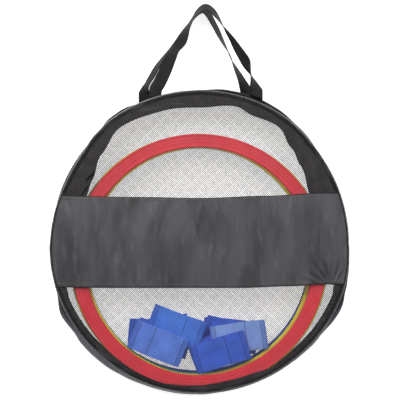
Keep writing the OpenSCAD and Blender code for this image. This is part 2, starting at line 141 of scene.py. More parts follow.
# How far the gusset bulges beyond its straight wall: angle in degrees, bulge in millimetres
BULGE = (
    (-18, 8), (-13, 6), (-8, 4), (0, 0.8), (32, 0.5), (50, 5.5), (60, 9), (66, 10), (80, 9.2),
    (90, 5.5), (97, 3.8), (112, 3.2), (120, 8), (126, 7.5), (132, 3.5), (142, 0.5), (165, 0.5),
    (180, 2), (198, 5), (209, 14.5), (225, 15), (232, 14.5), (241, 12), (250, 10.5), (260, 10),
    (270, 9), (280, 7), (290, 4), (300, 4), (310, 8), (320, 9), (330, 12), (335, 12.5), (342, 8),
)
# The band's soft folds: millimetres to the right at its foot and at its head, share of its height
# at their middle, reach up and down, half width and height in millimetres
BAND_FOLDS = (
    (-196, -188, 0.62, 0.5, 11, 2.6), (-172, -166, 0.5, 0.8, 9, -1.6),
    (-158, -150, 0.1, 0.35, 7, 2.2), (-141, -134, 0.15, 0.3, 5, -1.6),
    (-112, -66, 0.8, 0.35, 11, 2.4), (-84, -48, 0.85, 0.3, 7, -1.8), (-30, 6, 0.9, 0.22, 6, 2.4),
    (22, 4, 0.85, 0.2, 4, -2.2), (44, 48, 0.7, 0.5, 14, 2.2), (92, 84, 0.3, 0.6, 16, 1.8),
    (146, 150, 0.6, 0.6, 12, 2.4), (186, 192, 0.62, 0.4, 4, -2.0), (204, 210, 0.5, 0.5, 8, 2.0),
)
# The height of the band's hems, as a share of its own
HEM = 6 / 144
# How far the band's upper and lower edge stray upwards, in millimetres, by the place to the right
UPPER_EDGE = ((-240, 0.5), (-100, -1.5), (0, -3), (110, 0.5), (190, 4.5), (240, 4.5))
LOWER_EDGE = ((-240, 1), (-130, 0), (60, 0), (140, 2.5), (190, 5.5), (240, 6))
# The puckers that run from its right lower corner: the corner, how close they stand, and their
# middle and reach along each, in millimetres
PUCKERS = ((206, -72), 19, 26, 17)
# How far the front piping strays from its circle: angle in degrees, stray in millimetres
STRAY = (
    (0, -4.6), (12, -5), (32, -5), (40, -4.2), (48, -2), (56, -0.5), (66, 0), (126, 0.2),
    (134, -2.4), (143, -6.5), (149, -7.5), (156, -7.5), (163, -6.5), (170, -5), (176, -3.8),
    (184, -1.6), (192, -0.8), (200, 0), (270, 0), (292, -0.6), (304, -0.5), (320, 0), (340, 0),
    (350, -1.2), (356, -3.2), (360, -4.6),
)


def size(name, description, value, least, most, digits=5):
    """A length in millimetres that can be changed in the panel."""
    return bpy.props.FloatProperty(
        name=name, description=description, default=value * MM, min=least * MM, max=most * MM,
        unit="LENGTH", precision=digits)


class RingBagSizes(bpy.types.PropertyGroup):
    """Sizes that can be changed before the pieces are built again."""
    net_pitch: size("Net pitch", "Distance between two strands of the front net", 2.214, 1.5, 6)
    back_net_pitch: size(
        "Back net pitch", "Distance between two strands of the back net", 2.66, 1.5, 6)
    strand: size("Strand", "Width of a strand of the front net", 0.38, 0.1, 1)
    back_strand: size("Back strand", "Width of a strand of the back net", 0.28, 0.1, 1)
    band_fold: size("Band folds", "Height of the soft folds in the plain band", 2, 0, 4)
    strap_width: size("Strap width", "Width of the handle webbing", 20, 14, 30, 4)
    strap_thickness: size("Strap thickness", "Thickness of the handle webbing", 1.3, 1, 2.4)
    eye_height: size(
        "Camera height", "Height of the camera above the front of the bag", 1700, 800, 4000, 2)


def shade(name, description, value):
    """A colour that can be changed in the panel."""
    return bpy.props.FloatVectorProperty(
        name=name, description=description, default=value, size=3, min=0, max=1, subtype="COLOR")


class RingBagColours(bpy.types.PropertyGroup):
    """Colours of the finishes, as linear values."""
    strands: shade("Net", "Strands of the nets", (0.085, 0.075, 0.081))
    band: shade("Band", "Plain band across the front", (0.050, 0.047, 0.055))
    cloth: shade("Gusset", "Black cloth of the sides", (0.003, 0.003, 0.0035))
    vinyl: shade("Piping", "Vinyl of the piping", (0.006, 0.006, 0.008))
    webbing: shade("Webbing", "Woven handles", (0.009, 0.0083, 0.0095))
    red: shade("Red", "Red rings", (0.93, 0.030, 0.055))
    yellow: shade("Yellow", "Yellow rings", (1.0, 0.80, 0.05))
    green: shade("Green", "Green rings", (0.09, 0.58, 0.18))
    blue: shade("Blue", "Blue rings", (0.05, 0.13, 0.55))
    # The connectors: one blue nylon and copies of it with more and less painted sheen
    pad: shade("Connectors", "Blue nylon of the connectors", (0.06, 0.25, 1.0))
    pad_light: shade("Light connectors", "Paler nylon of some connectors", (0.12, 0.27, 0.92))
    # The palest copy: painted sheen
    pad_pale: shade("Pale connector", "Palest nylon, worn by use", (0.27, 0.44, 1.0))
    pad_deep: shade("Deep connectors", "Deeper nylon of some connectors", (0.035, 0.14, 0.78))


# ---------------------------------------------------------------- shader expressions

class Term:
    """A shader socket that can stand in a Python expression; each operator adds its Math node."""

    def __init__(self, shader, socket):
        self.shader, self.socket = shader, socket

    def _join(self, operation, *others):
        """A Math node with this term first."""
        return self.shader.node("ShaderNodeMath", {"operation": operation}, [self, *others])

    def __add__(self, other):
        return self._join("ADD", other)

    def __sub__(self, other):
        return self._join("SUBTRACT", other)

    def __rsub__(self, other):
        return self.shader.node("ShaderNodeMath", {"operation": "SUBTRACT"}, [other, self])

    def __mul__(self, other):
        return self._join("MULTIPLY", other)

    __radd__, __rmul__ = __add__, __mul__

    def sin(self):
        return self._join("SINE")

    def abs(self):
        return self._join("ABSOLUTE")

    def root(self):
        return self._join("SQRT")

    def step(self, low, high):
        """0 below low, 1 above high, and a smooth rise between them."""
        return self.shader.node(
            "ShaderNodeMapRange", {"interpolation_type": "SMOOTHSTEP"}, [self, low, high, 0.0, 1.0])


class Finish:
    """A material or a world under construction, with one method that adds any node."""

    def __init__(self, name, kind="materials"):
        self.made = getattr(bpy.data, kind).new(name)
        self.made.use_nodes = True
        self.tree = self.made.node_tree
        self.tree.nodes.clear()

    def node(self, kind, settings=None, sockets=(), out=0):
        """Adds a node: its settings first, then its sockets by place or by name."""
        made = self.tree.nodes.new(kind)
        for key, value in (settings or {}).items():
            setattr(made, key, value)
        named = sockets.items() if isinstance(sockets, dict) else enumerate(sockets)
        for key, value in named:
            if value is None:
                continue
            target = made.inputs[key]
            if isinstance(value, Term):
                self.tree.links.new(value.socket, target)
            else:
                target.default_value = value
        return Term(self, made.outputs[out])

    def place(self):
        """The point on the object, in metres."""
        return self.node("ShaderNodeTexCoord", out="Object")

    def on_surface(self):
        """The piece's own map, in metres along and across it."""
        return self.node("ShaderNodeUVMap", {"uv_map": "Run"})

    def parts(self, vector):
        """The three parts of a vector."""
        split = self.node("ShaderNodeSeparateXYZ", sockets=[vector]).socket.node
        return [Term(self, split.outputs[i]) for i in range(3)]

    def noise(self, vector, scale, detail=2.0, rough=0.5):
        """Clouds between 0 and 1, finer at a larger scale."""
        return self.node("ShaderNodeTexNoise", sockets={
            "Vector": vector, "Scale": scale, "Detail": detail, "Roughness": rough})

    def stretched(self, vector, scale):
        """A vector with a scale of its own along each axis."""
        return self.node("ShaderNodeMapping", sockets={"Vector": vector, "Scale": scale})

    def mix(self, factor, low, high):
        """A colour between two colours."""
        mixed = self.node("ShaderNodeMix", {"data_type": "RGBA"}).socket.node
        for key, value in ((0, factor), (6, low), (7, high)):
            if isinstance(value, Term):
                self.tree.links.new(value.socket, mixed.inputs[key])
            else:
                mixed.inputs[key].default_value = value if key == 0 else (*value, 1.0)
        return Term(self, mixed.outputs[2])

    def bump(self, height, distance, strength):
        """The normal of a surface that stands up by a height times a distance."""
        return self.node("ShaderNodeBump", sockets={
            "Strength": strength, "Distance": distance, "Height": height})

    def surface(self, **sockets):
        """The Principled surface and the output; a plain number stays on its socket."""
        named = {key.replace("_", " "): value for key, value in sockets.items()}
        return self.finished(self.node("ShaderNodeBsdfPrincipled", sockets=named))

    def finished(self, shader, kind="ShaderNodeOutputMaterial"):
        """Joins the shader to the output and gives what is made."""
        out = self.tree.nodes.new(kind)
        self.tree.links.new(shader.socket, out.inputs["Surface"])
        return self.made


def tint(colour, factor):
    """The colour times a factor, kept within 1."""
    return tuple(min(1.0, part * factor) for part in colour)


def strand_finish(colour):
    """Smooth monofilament, lighter and darker in soft clouds over the net."""
    f = Finish("net_strand")
    tone_and_sheen_clouds = f.noise(f.place(), 60.0)
    return f.surface(
        Base_Color=f.mix(tone_and_sheen_clouds.step(0.35, 0.65), tint(colour, 0.85), tint(colour, 1.2)),
        Roughness=0.5, Specular_IOR_Level=0.25)


def waves(along, pitch):
    """A sine wave along a term, as long as the pitch."""
    return (along * (2 * math.pi / pitch)).sin()


def weave(f, vector, pitch):
    """A plain weave: the product of two sine waves, one along and one across."""
    along, across, _ = f.parts(vector)
    return waves(along, pitch) * waves(across, pitch)


def band_finish(colour):
    """Coated nylon: a fine weave, small creases, painted fold shade and sheen in clouds of lighter
    and darker grey, painted glints, and a dark line along each hem."""
    f = Finish("band_cloth")
    run = f.on_surface()
    creases = f.noise(f.stretched(run, (26.0, 11.0, 1.0)), 1.0, 6.0, 0.62)
    tone_and_sheen_clouds = f.noise(f.stretched(run, (26.0, 9.0, 1.0)), 1.0, 3.0)
    fine = weave(f, run, 0.9 * MM)
    height = creases * 3.4 + fine * 0.06
    glints = f.noise(f.stretched(run, (90.0, 24.0, 1.0)), 1.0, 4.0, 0.6).step(0.52, 0.75)
    # Painted shade and sheen of the soft folds, in clouds of darker and lighter grey, then painted
    # glints
    shade = f.mix(tone_and_sheen_clouds.step(0.34, 0.66), tint(colour, 0.52), tint(colour, 1.4))
    shade = f.mix(glints * 0.6, shade, tint(colour, 2.6))
    shade = f.mix(fine.step(-0.8, 0.9) * 0.35, shade, tint(colour, 0.55))
    hem = f.parts(run)[1].abs().step(BAND_TOP - 1.9 * MM, BAND_TOP - 0.9 * MM)
    shade = f.mix(hem * 0.8, shade, (0.008, 0.008, 0.009))
    return f.surface(
        Base_Color=shade, Roughness=0.36 + tone_and_sheen_clouds * 0.1, Normal=f.bump(height, 1.2 * MM, 0.7),
        Specular_IOR_Level=0.55)


def cloth_finish(name, colour, sheen):
    """Thin black nylon: a fine weave under soft creases, painted sheen in grey patches and streaks,
    and where sheen is over 0 more painted sheen, lighter where the lower wall of the gusset turns
    up to the light."""
    f = Finish(name)
    run = f.on_surface()
    creases = f.noise(f.stretched(run, (30.0, 90.0, 1.0)), 1.0, 3.0, 0.6)
    wear_and_sheen = f.noise(f.stretched(run, (12.0, 40.0, 1.0)), 1.0, 3.0)
    sheen_streaks = f.noise(f.stretched(run, (16.0, 120.0, 1.0)), 1.0, 2.0).step(0.6, 0.72)
    fine = weave(f, run, 0.8 * MM)
    rubbed_and_sheen = wear_and_sheen.step(0.52, 0.68)
    along, up, _ = f.parts(run)
    # Painted sheen: grey patches and narrow grey streaks over the black cloth
    shade = f.mix(rubbed_and_sheen, colour, tint(colour, 5))
    shade = f.mix(sheen_streaks * 0.6, shade, (0.05, 0.05, 0.055))
    # Painted sheen where the lower wall turns up towards the lamps
    if sheen:
        turned = up.step(14 * MM, 30 * MM) * (1 - up.step(44 * MM, 50 * MM))
        first, last = (math.radians(a) * WALL_R for a in (180 + FOLD_A, 360 - FOLD_A))
        fade = 55 * MM
        turned = turned * along.step(first, first + fade) * (1 - along.step(last - fade, last))
        shade = f.mix(turned * (0.35 + wear_and_sheen) * sheen, shade, (0.12, 0.125, 0.15))
    return f.surface(
        Base_Color=shade, Roughness=0.5 - rubbed_and_sheen * 0.14,
        Normal=f.bump(creases + fine * 0.05, 1.2 * MM, 0.6), Specular_IOR_Level=0.16)


def vinyl_finish(colour):
    """Glossy vinyl over a cord, with the cord's lay faintly pressed through, scuffs, and a painted
    highlight line where it turns over."""
    f = Finish("piping_vinyl")
    along, across, _ = f.parts(f.on_surface())
    lay = waves(along + across * 1.3, 4.5 * MM)
    scuffs = f.noise(f.place(), 90.0, 4.0)
    # A painted highlight: a light grey line along the crest, broken by the scuffs
    crest_highlight = 1 - (across - CREST * PIPE_D / 2).abs().step(0.12 * MM, 0.45 * MM)
    shade = f.mix(scuffs.step(0.45, 0.8), colour, tint(colour, 3.0))
    shade = f.mix(crest_highlight * (0.2 + scuffs), shade, (0.34, 0.34, 0.36))
    return f.surface(
        Base_Color=shade, Roughness=0.22 + scuffs * 0.12,
        Normal=f.bump(lay * 0.4 + scuffs, 0.35 * MM, 0.3), Specular_IOR_Level=0.7, Coat_Weight=0.35)


def webbing_finish(colour):
    """Woven webbing: ribs across it, broken by the cords that run along it."""
    f = Finish("webbing")
    along, across, _ = f.parts(f.on_surface())
    ribs, cords = waves(along, 1.6 * MM), waves(across, 3.2 * MM)
    wear_and_sheen = f.noise(f.place(), 45.0, 3.0)
    height = ribs * cords * 0.5 + cords.abs() * 0.8
    shade = f.mix(wear_and_sheen.step(0.35, 0.75), tint(colour, 0.85), tint(colour, 1.9))
    shade = f.mix(height.step(-0.3, 1.1) * 0.5, shade, tint(colour, 2.2))
    return f.surface(
        Base_Color=shade, Roughness=0.58, Normal=f.bump(height, 0.3 * MM, 0.8),
        Specular_IOR_Level=0.2)


def tape_finish(colour):
    """Zip tape: a fine diagonal twill."""
    f = Finish("zip_tape")
    along, across, _ = f.parts(f.on_surface())
    twill = waves(along + across, 0.9 * MM)
    return f.surface(
        Base_Color=f.mix(twill.step(-0.6, 0.9), tint(colour, 0.8), tint(colour, 1.8)),
        Roughness=0.6, Normal=f.bump(twill, 0.15 * MM, 0.7))


def plastic_finish(name, colour, middle, radius):
    """Injection-moulded plastic: three shallow grooves round the ring, darkened as painted shade, a
    soft gloss, faint flow marks and fine handling scratches."""
    f = Finish(name)
    place = f.place()
    x, y, _ = f.parts(place)
    aside, ahead = x - middle[0], y - middle[1]
    out = (aside * aside + ahead * ahead).root()
    # The grooves: pressed in by the bump and darkened in colour as painted shade
    groove_with_shade = 0.0
    for inset in RING_GROOVES:
        groove_with_shade = 1 - (out - (radius - inset * MM)).abs().step(0.3 * MM, 1.3 * MM) + groove_with_shade
    flow = f.noise(place, 14.0, 3.0)
    scratches = f.noise(f.stretched(place, (900.0, 60.0, 60.0)), 1.0, 2.0)
    marks = f.noise(place, 220.0, 2.0)
    shade = f.mix(flow.step(0.3, 0.7), tint(colour, 0.93), tint(colour, 1.06))
    return f.surface(
        Base_Color=f.mix(groove_with_shade * 0.45, shade, tint(colour, 0.5)),
        Roughness=0.34 + flow * 0.12 + scratches.step(0.55, 0.8) * 0.1,
        Normal=f.bump(marks * 0.02 + scratches * 0.015 - groove_with_shade, 0.6 * MM, 0.5),
        Specular_IOR_Level=0.3, Coat_Weight=0.05)


def metal_finish():
    """Black enamel on cast zinc, rubbed brighter in places."""
    f = Finish("zip_enamel")
    rubbed_and_sheen = f.noise(f.place(), 420.0, 4.0).step(0.5, 0.85)
    return f.surface(
        Base_Color=f.mix(rubbed_and_sheen, (0.018, 0.018, 0.02), (0.12, 0.12, 0.125)),
        Metallic=0.5 + rubbed_and_sheen * 0.4, Roughness=0.3 + rubbed_and_sheen * 0.1)


def tooth_finish():
    """Black acetal, lightly polished by the slider."""
    f = Finish("zip_acetal")
    rubbed_and_sheen = f.noise(f.place(), 500.0, 2.0)
    return f.surface(
        Base_Color=f.mix(rubbed_and_sheen.step(0.4, 0.7), (0.008, 0.008, 0.009), (0.03, 0.03, 0.033)),
        Roughness=0.4 + rubbed_and_sheen * 0.15, Specular_IOR_Level=0.25)


def pad_finish(name, colour):
    """Blue packcloth: a visible weave, clouds of dye, soft creases, a bound edge at both ends and a
    dark line painted as the shadow of the flap's edge.
    """
    f = Finish(name)
    run = f.on_surface()
    fine = weave(f, run, 1.1 * MM)
    tone_and_sheen_clouds = f.noise(f.place(), 40.0, 3.0)
    creases = f.noise(f.stretched(run, (50.0, 50.0, 1.0)), 1.0, 3.0)
    along = f.parts(run)[0]
    from_middle = along.abs()
    # The flap's edge, from the middle towards one end, where a dark line is painted as its shadow,
    # and the seam across each end
    flap_edge, seam = 11.4 * MM, 36 * MM
    edge = (along - flap_edge).abs().step(0.35 * MM, 0.9 * MM)
    bound = from_middle.step(seam + 0.6 * MM, seam + 1 * MM)
    sewn = (from_middle - seam).abs().step(0.3 * MM, 0.8 * MM)
    shade = f.mix(tone_and_sheen_clouds.step(0.3, 0.7), tint(colour, 0.85), tint(colour, 1.12))
    shade = f.mix(fine.step(0.2, 0.9) * 0.2, shade, tint(colour, 0.7))
    shade = f.mix(bound * 0.4, shade, (0.02, 0.09, 0.55))
    # Dark lines: a stitch line across each end, and a painted shadow line at the flap's edge
    shade = f.mix(sewn * edge, tint(colour, 0.35), shade)
    return f.surface(
        Base_Color=shade, Roughness=0.48, Normal=f.bump(fine * 0.1 + creases, 0.5 * MM, 0.6),
        Specular_IOR_Level=0.3)


def thread_finish(name, colour):
    """Sewing thread, twisted and slightly shiny."""
    f = Finish(name)
    twist = f.noise(f.place(), 1500.0, 1.0)
    return f.surface(Base_Color=f.mix(twist, tint(colour, 0.8), tint(colour, 1.3)), Roughness=0.5)


# ---------------------------------------------------------------- mesh making

def piece(name, points, faces, material, runs=None, smooth=True):
    """A piece from its points and faces, with a map in metres along and across it."""
    mesh = bpy.data.meshes.new(name)
    faces = faces.tolist() if isinstance(faces, np.ndarray) else faces
    mesh.from_pydata(np.asarray(points, float).tolist(), [], faces)
    if runs is not None:
        layer = mesh.uv_layers.new(name="Run")
        corner = np.empty(len(mesh.loops), dtype=np.int32)
        mesh.loops.foreach_get("vertex_index", corner)
        layer.data.foreach_set("uv", np.asarray(runs, float)[corner].ravel())
    mesh.polygons.foreach_set("use_smooth", np.full(len(mesh.polygons), smooth))
    mesh.update()
    made = bpy.data.objects.new(name, mesh)
    bpy.context.scene.collection.objects.link(made)
    mesh.materials.append(material)
    return made


def grid_faces(rows, columns, round_rows=False, round_columns=False, start=0):
    """Quads between neighbours of a grid of points counted row by row."""
    r = np.arange(rows if round_rows else rows - 1)
    c = np.arange(columns if round_columns else columns - 1)
    r, c = (a.ravel() for a in np.meshgrid(r, c, indexing="ij"))
    r2, c2 = (r + 1) % rows, (c + 1) % columns
    quads = np.stack([r * columns + c, r2 * columns + c, r2 * columns + c2, r * columns + c2], 1)
    return quads + start


class Patchwork:
    """Grids of points gathered into one piece. A grid is an array of rows by columns of points, its
    map one of rows by columns of metres along and across."""

    def __init__(self):
        self.points, self.faces, self.runs, self.count = [], [], [], 0

    def add(self, grid, run, round_rows=False, round_columns=False, flip=False):
        """Adds a grid and its map; flip turns its faces to the other side."""
        rows, columns = grid.shape[:2]
        quads = grid_faces(rows, columns, round_rows, round_columns, self.count)
        self.faces.append(quads[:, ::-1] if flip else quads)
        self.points.append(grid.reshape(-1, 3))
        self.runs.append(run.reshape(-1, 2))
        self.count += rows * columns

    def make(self, name, material):
        """The piece that all grids make together."""
        return piece(name, np.concatenate(self.points), np.concatenate(self.faces), material,
                     np.concatenate(self.runs))


def curve(pairs, angles, gain=MM):
    """A smooth curve through pairs of place and value: half a cosine wave from each pair to the
    next."""
    at, value = np.array(pairs, float).T
    i = np.clip(np.searchsorted(at, angles, side="right") - 1, 0, len(at) - 2)
    t = np.clip((angles - at[i]) / (at[i + 1] - at[i]), 0, 1)
    return gain * (value[i] + (value[i + 1] - value[i]) * (1 - np.cos(np.pi * t)) / 2)


def ripple(x, y, seed, waves=6, low=8.0, high=40.0):
    """Soft random ripples between -1 and 1: a sum of sine waves of random run and phase."""
    rng = np.random.default_rng(seed)
    total = np.zeros(np.broadcast(x, y).shape)
    for _ in range(waves):
        turn, phase = rng.uniform(0, 2 * np.pi, 2)
        rate = rng.uniform(low, high)
        total += np.sin(rate * (x * np.cos(turn) + y * np.sin(turn)) + phase)
    return total / waves


def polar(radius, degrees, height):
    """Points at a radius, an angle in degrees and a height."""
    a = np.radians(degrees)
    return np.stack([radius * np.cos(a), radius * np.sin(a), height + 0 * radius * a], -1)


def solidify(made, thickness):
    """Gives a sheet its thickness, inwards from the side that it faces."""
    wall = made.modifiers.new("thickness", "SOLIDIFY")
    wall.thickness, wall.offset = thickness, -1.0
    return made


def net(name, pitch, strand, inside, height, material, slack=0.0):
    """A net of two crossing sets of strands at 45 degrees: a square at each crossing and a strip to
    the next one along each set, kept where inside(x, y) is true, drawn to and fro by slack and
    lifted to height(x, y)."""
    reach = int(WALL_R / pitch * 1.05) + 2
    counts = np.arange(-reach, reach)
    i, j = (a.ravel() for a in np.meshgrid(counts, counts, indexing="ij"))
    diagonal = math.sqrt(0.5)
    keep = inside((i + j) * pitch * diagonal, (i - j) * pitch * diagonal)
    number = np.full((2 * reach + 1, 2 * reach + 1), -1)
    i, j = i[keep], j[keep]
    number[i + reach, j + reach] = np.arange(len(i))
    corner = np.array([(-1, -1), (1, -1), (1, 1), (-1, 1)]) * strand / 2
    u = i[:, None] * pitch + corner[:, 0]
    v = j[:, None] * pitch + corner[:, 1]
    x, y = (u + v) * diagonal + NET_SHIFT, (u - v) * diagonal + NET_SHIFT
    x, y = x + slack * ripple(x, y, 71, 7, 12, 46), y + slack * ripple(x, y, 72, 7, 12, 46)
    points = np.stack([x, y, height(x, y)], -1).reshape(-1, 3)
    first = 4 * np.arange(len(i))
    after, beside = number[i + reach + 1, j + reach], number[i + reach, j + reach + 1]
    crossings = first[:, None] + [3, 2, 1, 0]
    a, b = first[after >= 0], 4 * after[after >= 0]
    along = np.stack([a + 2, b + 3, b, a + 1], 1)
    a, b = first[beside >= 0], 4 * beside[beside >= 0]
    across = np.stack([a + 3, b, b + 1, a + 2], 1)
    faces = np.concatenate([crossings, along, across])
    return piece(name, points, faces, material)


def stitch_piece(name, path, pitch, material, length=0.7, width=0.45 * MM, height=0.3 * MM):
    """Stitches evenly spaced along a level path, each a low lozenge with eight corners; length is a
    share of the pitch."""
    steps = np.linalg.norm(np.diff(path, axis=0), axis=1)
    run = np.concatenate([[0], np.cumsum(steps)])
    at = np.arange(pitch / 2, run[-1], pitch)
    places, ahead = (np.stack([np.interp(place, run, path[:, k]) for k in range(3)], 1)
                     for place in (at, at + pitch / 4))
    sides = ahead - places
    sides /= np.maximum(np.linalg.norm(sides, axis=1, keepdims=True), 1e-9)
    up = np.array([0, 0, 1.0])
    across = np.cross(up, sides)
    ring = np.array([(-0.5, 0, 0), (-0.3, 0.5, 0.3), (0.3, 0.5, 0.3), (0.5, 0, 0),
                     (0.3, -0.5, 0.3), (-0.3, -0.5, 0.3), (-0.25, 0, 1), (0.25, 0, 1)])
    local = ring * [length * pitch, width, height]
    points = (places[:, None] + local[None, :, :1] * sides[:, None]
              + local[None, :, 1:2] * across[:, None] + local[None, :, 2:] * up)
    quads = np.array([(0, 5, 6, 6), (0, 6, 1, 1), (1, 6, 7, 2), (2, 7, 3, 3), (3, 7, 4, 4),
                      (4, 7, 6, 5)])
    faces = [[int(v) for v in dict.fromkeys(q)]
             for k in range(len(places)) for q in (quads + len(ring) * k)]
    return piece(name, points.reshape(-1, 3), faces, material, smooth=False)


# ---------------------------------------------------------------- the forms of the bag

def front_height(x, y):
    """Height of the front net: level at its rim, less a sag that is full in the middle and falls
    off with the square of the radius, plus small ripples."""
    sag, wave = 1.6 * MM, 0.35 * MM
    inside = 1 - (np.hypot(x, y) / WALL_R) ** 2
    return (NET_HIGH - sag * np.clip(inside, 0, 1)
            + wave * ripple(x, y, 3) * np.clip(inside * 4, 0, 1))


def back_height(x, y):
    """Height of the back net: just above the floor, plus small ripples."""
    wave = 0.25 * MM
    return SEAM_LOW * 0.5 + wave * (1 + ripple(x, y, 5))


def arc_steps(a0, a1, step=1.0):
    """Angles from a0 to a1, about a step apart."""
    return np.linspace(a0, a1, max(2, int(abs(a1 - a0) / step) + 1))


def stray(x, y):
    """How far the front seam strays from its circle in the direction of a point."""
    return curve(STRAY, np.degrees(np.arctan2(y, x)) % 360)


def piping_radius(angles, seed):
    """Radius of the corner seams: their circle, plus its stray, plus slow ripples round it."""
    turn = np.radians(angles)
    return (PIPE_R + curve(STRAY, angles % 360)
            + 0.15 * MM * ripple(np.cos(turn), np.sin(turn), seed, low=4, high=16))


def pipe(name, z, material, seed):
    """Round piping: a circle carried along the circle of a corner seam."""
    sides = 16
    angles = np.arange(0, 360, 1.0)
    around = np.linspace(0, 2 * np.pi, sides + 1)[:-1]
    radius = piping_radius(angles, seed)[:, None] + PIPE_D / 2 * np.cos(around)
    grid = polar(radius, angles[:, None], z + PIPE_D / 2 * np.sin(around))
    run = np.stack(np.broadcast_arrays(
        np.radians(angles)[:, None] * PIPE_R, around * PIPE_D / 2), -1)
    work = Patchwork()
    work.add(grid, run, round_rows=True, round_columns=True, flip=True)
    return work.make(name, material)


def flange(name, z, material, seed):
    """The flat lip of the piping, sewn over the edge of a panel: half a sine wave, flattened and
    carried along the seam."""
    width, lift = 4.6 * MM, 0.5 * MM
    angles = np.arange(0, 360, 1.5)
    across = np.linspace(0, 1, 7)
    radius = piping_radius(angles, seed)[:, None] - PIPE_D / 2 + 0.6 * MM - width * across
    crown = lift * np.sin(np.pi * np.clip(across * 1.15, 0, 1)) ** 0.5
    grid = polar(radius, angles[:, None], (z + crown)[None])
    run = np.stack(np.broadcast_arrays(
        np.radians(angles)[:, None] * PIPE_R, across * width), -1)
    work = Patchwork()
    work.add(grid, run, round_rows=True)
    return solidify(work.make(name, material), SHEET_T)


def swell(angles, t, whole=False):
    """How far the wall bulges at an angle and a share t of its height: the bulge there times half a
    sine wave from edge to edge; in a whole wall beside the ends of the zip it passes smoothly into
    two half waves, one below the slot and one above."""
    one = np.sin(np.pi * t) ** 0.8
    if not whole:
        return curve(BULGE, angles) * one
    tall = SEAM_HIGH - SEAM_LOW
    below, above = (SLOT_LOW - SEAM_LOW) / tall, (SLOT_HIGH - SEAM_LOW) / tall
    two = np.sin(np.pi * np.clip(t / below, 0, 1)) + np.sin(
        np.pi * np.clip((t - above) / (1 - above), 0, 1))
    two = np.abs(two) ** 0.8
    from_end = np.minimum(np.abs(angles - LEFT_END), np.abs(angles - RIGHT_END))
    passage = 14
    split = np.clip(1 - from_end / passage, 0, 1)
    return curve(BULGE, angles) * (one + (two - one) * split * split * (3 - 2 * split))


def wall_profile(angles, low, high, share):
    """Radius and height of points up the gusset's wall: a straight line from low to high, plus the
    bulge, plus the front seam's stray times the height's share to the power 1.5."""
    t = np.linspace(0, 1, WALL_COUNT)
    lean = curve(STRAY, angles % 360) if high > SLOT_HIGH else 0 * angles
    whole = low < SLOT_LOW and high > SLOT_HIGH
    radius = WALL_R - 0.3 * CLOTH_T + share[:, None] * swell(angles[:, None], t[None], whole)
    radius = radius + lean[:, None] * t ** 1.5
    height = low + (high - low) * t
    return radius, np.broadcast_to(height, radius.shape), t


def pleat_profile(depth, top, rim):
    """Radius and height of points along a pleat: in from the rim at its top as far as the depth's
    radius, round half a circle, and back out just above the pile of rings."""
    count = 16
    under = PILE_TOP + 0.9 * MM
    half = (top - under) / 2
    span = rim - depth[:, None]
    leg_in = rim - (span - half) * np.linspace(0, 1, count)
    turn = np.linspace(0, np.pi, 7)[1:-1]
    fold = depth[:, None] + half - half * np.sin(turn)
    radius = np.concatenate([leg_in, fold, leg_in[:, ::-1]], 1)
    level = np.concatenate([np.full(count, top), (top + under) / 2 + half * np.cos(turn),
                            np.full(count, under)])
    return radius, np.broadcast_to(level, radius.shape)


def gusset_part(angles, low, high, pleat, share=1.0):
    """One stretch of gusset: the wall from low to high with soft creases, and from its top the
    pleat under the net. Gives its points, its map and how far each column runs up and in."""
    crease, wave = 0.5 * MM, 0.35 * MM
    x, y = np.cos(np.radians(angles)), np.sin(np.radians(angles))
    radius, height, t = wall_profile(angles, low, high, share + 0 * angles)
    radius = radius + crease * ripple(x[:, None], y[:, None] + 120 * height, 11, 7, 6, 26) * (
        np.sin(np.pi * t))
    if pleat is not None:
        rim = WALL_R - 1.2 * MM + curve(STRAY, angles % 360)[:, None]
        in_r, in_z = pleat_profile(curve(pleat, angles), NET_HIGH - 1.0 * MM, rim)
        in_r, in_z = in_r[:, ::-1], in_z[:, ::-1]
        sway = wave * ripple(x[:, None] + 0 * in_r, y[:, None] + in_r * 20, 12, 7, 10, 40)
        radius = np.concatenate([radius, in_r], 1)
        height = np.concatenate([height, in_z + sway], 1)
    grid = polar(radius, angles[:, None], height)
    steps = np.linalg.norm(np.diff(grid, axis=1), axis=2)
    up = np.concatenate([np.zeros((len(angles), 1)), np.cumsum(steps, axis=1)], 1)
    climb = np.concatenate([height[:, :WALL_COUNT], high + up[:, WALL_COUNT:]
                            - up[:, WALL_COUNT - 1:WALL_COUNT]], 1)
    run = np.stack(np.broadcast_arrays(np.radians(angles)[:, None] * WALL_R, climb), -1)
    return grid, run, up[:, -1]


def cloth_size(angles, tall):
    """The flat size that a stretch of cloth was cut to: its run along the wall and mean height."""
    return (math.radians(angles[-1] - angles[0]) * WALL_R, float(np.mean(tall)))


# ---------------------------------------------------------------- operators

# The finishes by their short names, filled by the operator that makes them
FINISHES = {}


class Builder:
    """What every operator of the bag shares."""
    bl_options = {"REGISTER", "UNDO"}

    def execute(self, context):
        """Builds with the scene's sizes and colours."""
        self.build(context.scene.ring_bag_sizes, context.scene.ring_bag_colours)
        return {"FINISHED"}


def fold_blend(made):
    """Bakes the piece's place into its points."""
    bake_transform(made)


